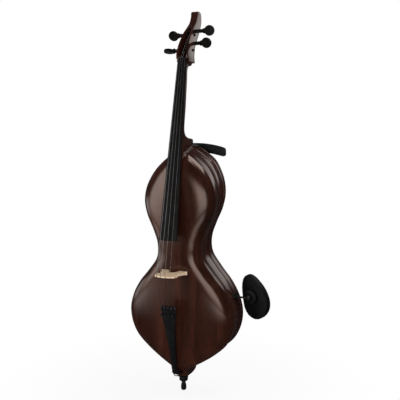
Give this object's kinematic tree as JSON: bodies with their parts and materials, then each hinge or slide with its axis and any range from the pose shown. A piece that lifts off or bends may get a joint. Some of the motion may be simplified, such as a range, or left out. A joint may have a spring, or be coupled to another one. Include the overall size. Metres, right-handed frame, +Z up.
{
  "type": "electric cello",
  "caption": "Bowed electric string instrument with a shallow lacquered body, arched shoulders, bent pegbox, bridge pickups, fine tuners, chest and knee rests and a sliding endpin.",
  "frame": {"origin": "on the floor under the middle of the endpin tip, with the endpin pushed in as in the picture", "axes": "+Z up along the body towards the head, front (belly and strings) towards -Y, +X towards the player's left hand side where the knee rest is"},
  "size_m": [0.4658, 0.2703, 1.246],
  "materials": {
    "lacquer": "high-gloss dark red-brown lacquer",
    "ebony": "oiled ebony, satin",
    "spruce": "bare spruce, sanded",
    "maple": "oiled pale maple",
    "composite": "black moulded composite, satin",
    "plastic": "black moulded plastic",
    "foam": "black skinned foam, matt",
    "rubber": "black rubber, worn matt at the foot",
    "steel": "drawn steel",
    "string_steel": "flat-wound steel, fine rings",
    "chrome": "bright plated steel",
    "black_metal": "black anodised metal, satin",
    "brass": "plain brass",
    "circuit_board": "green solder mask",
    "battery_can": "plain metal battery can"
  },
  "bodies": {
    "body": {"fingerboard": "ebony", "neck": "lacquer", "nut": "ebony", "top_block": "spruce", "tail_block": "lacquer", "front_plate": "lacquer", "back_plate": "lacquer", "ribs": "lacquer", "bridge": "maple", "pickup_bass": "brass", "pickup_treble": "brass", "saddle": "ebony", "tailpiece": "composite", "tuner_pin": "steel", "tail_wire": "steel", "endpin_collar": "black_metal", "chest_bracket": "black_metal", "knee_socket": "chrome", "knee_inner_nut": "chrome", "control_cover": "black_metal", "volume_pot": "brass", "tone_pot": "brass", "output_jack": "chrome", "jack_nut": "chrome", "preamp_board": "circuit_board", "battery_tray": "plastic", "battery": "battery_can", "lid_pin": "steel", "bracket_screw_left": "steel", "bracket_screw_right": "steel", "string_c": "string_steel", "string_g": "string_steel", "string_d": "string_steel", "string_a": "string_steel"},
    "endpin": {"endpin_rod": "steel", "endpin_tip": "rubber"},
    "endpin_screw": {"endpin_screw": "black_metal"},
    "chest_rest": {"chest_bar": "plastic", "chest_pad": "foam"},
    "chest_knob": {"chest_knob": "black_metal"},
    "knee_arm": {"knee_arm": "chrome", "knee_screw": "chrome"},
    "knee_rest": {"knee_plate": "plastic", "knee_pad": "foam"},
    "knee_collet": {"knee_collet": "black_metal"},
    "volume_knob": {"volume_knob": "plastic"},
    "tone_knob": {"tone_knob": "plastic"},
    "battery_lid": {"battery_lid": "plastic"},
    "peg_c": {"peg_c": "ebony"},
    "tuner_lever_c": {"tuner_lever_c": "black_metal"},
    "tuner_screw_c": {"tuner_screw_c": "black_metal"},
    "peg_g": {"peg_g": "ebony"},
    "tuner_lever_g": {"tuner_lever_g": "black_metal"},
    "tuner_screw_g": {"tuner_screw_g": "black_metal"},
    "peg_d": {"peg_d": "ebony"},
    "tuner_lever_d": {"tuner_lever_d": "black_metal"},
    "tuner_screw_d": {"tuner_screw_d": "black_metal"},
    "peg_a": {"peg_a": "ebony"},
    "tuner_lever_a": {"tuner_lever_a": "black_metal"},
    "tuner_screw_a": {"tuner_screw_a": "black_metal"}
  },
  "joints": [
    {"name": "peg_c_turn", "type": "hinge", "parent": "body", "child": "peg_c", "pos_m": [0, 0.04645, 1.11699], "axis": [1, 0, 0], "continuous": true},
    {"name": "peg_g_turn", "type": "hinge", "parent": "body", "child": "peg_g", "pos_m": [0, 0.06461, 1.167], "axis": [1, 0, 0], "continuous": true},
    {"name": "peg_d_turn", "type": "hinge", "parent": "body", "child": "peg_d", "pos_m": [0, 0.06439, 1.178], "axis": [1, 0, 0], "continuous": true},
    {"name": "peg_a_turn", "type": "hinge", "parent": "body", "child": "peg_a", "pos_m": [0, 0.05597, 1.139], "axis": [1, 0, 0], "continuous": true},
    {"name": "tuner_screw_c_turn", "type": "hinge", "parent": "body", "child": "tuner_screw_c", "pos_m": [-0.01875, -0.09676, 0.28738], "axis": [0, 0.9843, 0.1766], "range_deg": [-90, 180]},
    {"name": "tuner_lever_c_tilt", "type": "hinge", "parent": "body", "child": "tuner_lever_c", "pos_m": [-0.01875, -0.10034, 0.30451], "axis": [1, 0, 0], "range_deg": [-2, 3]},
    {"name": "tuner_screw_g_turn", "type": "hinge", "parent": "body", "child": "tuner_screw_g", "pos_m": [-0.00625, -0.09676, 0.28738], "axis": [0, 0.9843, 0.1766], "range_deg": [-90, 180]},
    {"name": "tuner_lever_g_tilt", "type": "hinge", "parent": "body", "child": "tuner_lever_g", "pos_m": [-0.00625, -0.10034, 0.30451], "axis": [1, 0, 0], "range_deg": [-2, 3]},
    {"name": "tuner_screw_d_turn", "type": "hinge", "parent": "body", "child": "tuner_screw_d", "pos_m": [0.00625, -0.09676, 0.28738], "axis": [0, 0.9843, 0.1766], "range_deg": [-90, 180]},
    {"name": "tuner_lever_d_tilt", "type": "hinge", "parent": "body", "child": "tuner_lever_d", "pos_m": [0.00625, -0.10034, 0.30451], "axis": [1, 0, 0], "range_deg": [-2, 3]},
    {"name": "tuner_screw_a_turn", "type": "hinge", "parent": "body", "child": "tuner_screw_a", "pos_m": [0.01875, -0.09676, 0.28738], "axis": [0, 0.9843, 0.1766], "range_deg": [-90, 180]},
    {"name": "tuner_lever_a_tilt", "type": "hinge", "parent": "body", "child": "tuner_lever_a", "pos_m": [0.01875, -0.10034, 0.30451], "axis": [1, 0, 0], "range_deg": [-2, 3]},
    {"name": "endpin_slide", "type": "slide", "parent": "body", "child": "endpin", "axis": [0, 0, -1], "range_m": [0, 0.3]},
    {"name": "endpin_screw_turn", "type": "hinge", "parent": "body", "child": "endpin_screw", "pos_m": [0, 0.0151, 0.038], "axis": [0, 1, 0], "continuous": true},
    {"name": "chest_rest_slide", "type": "slide", "parent": "body", "child": "chest_rest", "axis": [0, 0, 1], "range_m": [-0.015, 0.015]},
    {"name": "chest_knob_turn", "type": "hinge", "parent": "body", "child": "chest_knob", "pos_m": [0, 0.105, 0.76], "axis": [0, 1, 0], "continuous": true},
    {"name": "knee_arm_slide", "type": "slide", "parent": "body", "child": "knee_arm", "axis": [1, 0, 0], "range_m": [0, 0.02]},
    {"name": "knee_rest_tilt", "type": "hinge", "parent": "knee_arm", "child": "knee_rest", "pos_m": [0.214, 0.04, 0.327], "axis": [0.1994, 0.9799, 0], "range_deg": [-12, 12]},
    {"name": "knee_collet_turn", "type": "hinge", "parent": "body", "child": "knee_collet", "pos_m": [0.175, 0.04, 0.327], "axis": [1, 0, 0], "continuous": true},
    {"name": "volume_knob_turn", "type": "hinge", "parent": "body", "child": "volume_knob", "pos_m": [-0.034, 0.107, 0.3], "axis": [0, 1, 0], "range_deg": [-140, 140]},
    {"name": "tone_knob_turn", "type": "hinge", "parent": "body", "child": "tone_knob", "pos_m": [0, 0.107, 0.3], "axis": [0, 1, 0], "range_deg": [-140, 140]},
    {"name": "battery_lid_hinge", "type": "hinge", "parent": "body", "child": "battery_lid", "pos_m": [0, 0.0999, 0.19045], "axis": [-1, 0, 0], "range_deg": [0, 110]}
  ],
  "couplings": [
    {"joint": "tuner_lever_c_tilt", "follows": "tuner_screw_c_turn", "ratio": 0.005},
    {"joint": "tuner_lever_g_tilt", "follows": "tuner_screw_g_turn", "ratio": 0.005},
    {"joint": "tuner_lever_d_tilt", "follows": "tuner_screw_d_turn", "ratio": 0.005},
    {"joint": "tuner_lever_a_tilt", "follows": "tuner_screw_a_turn", "ratio": 0.005}
  ]
}
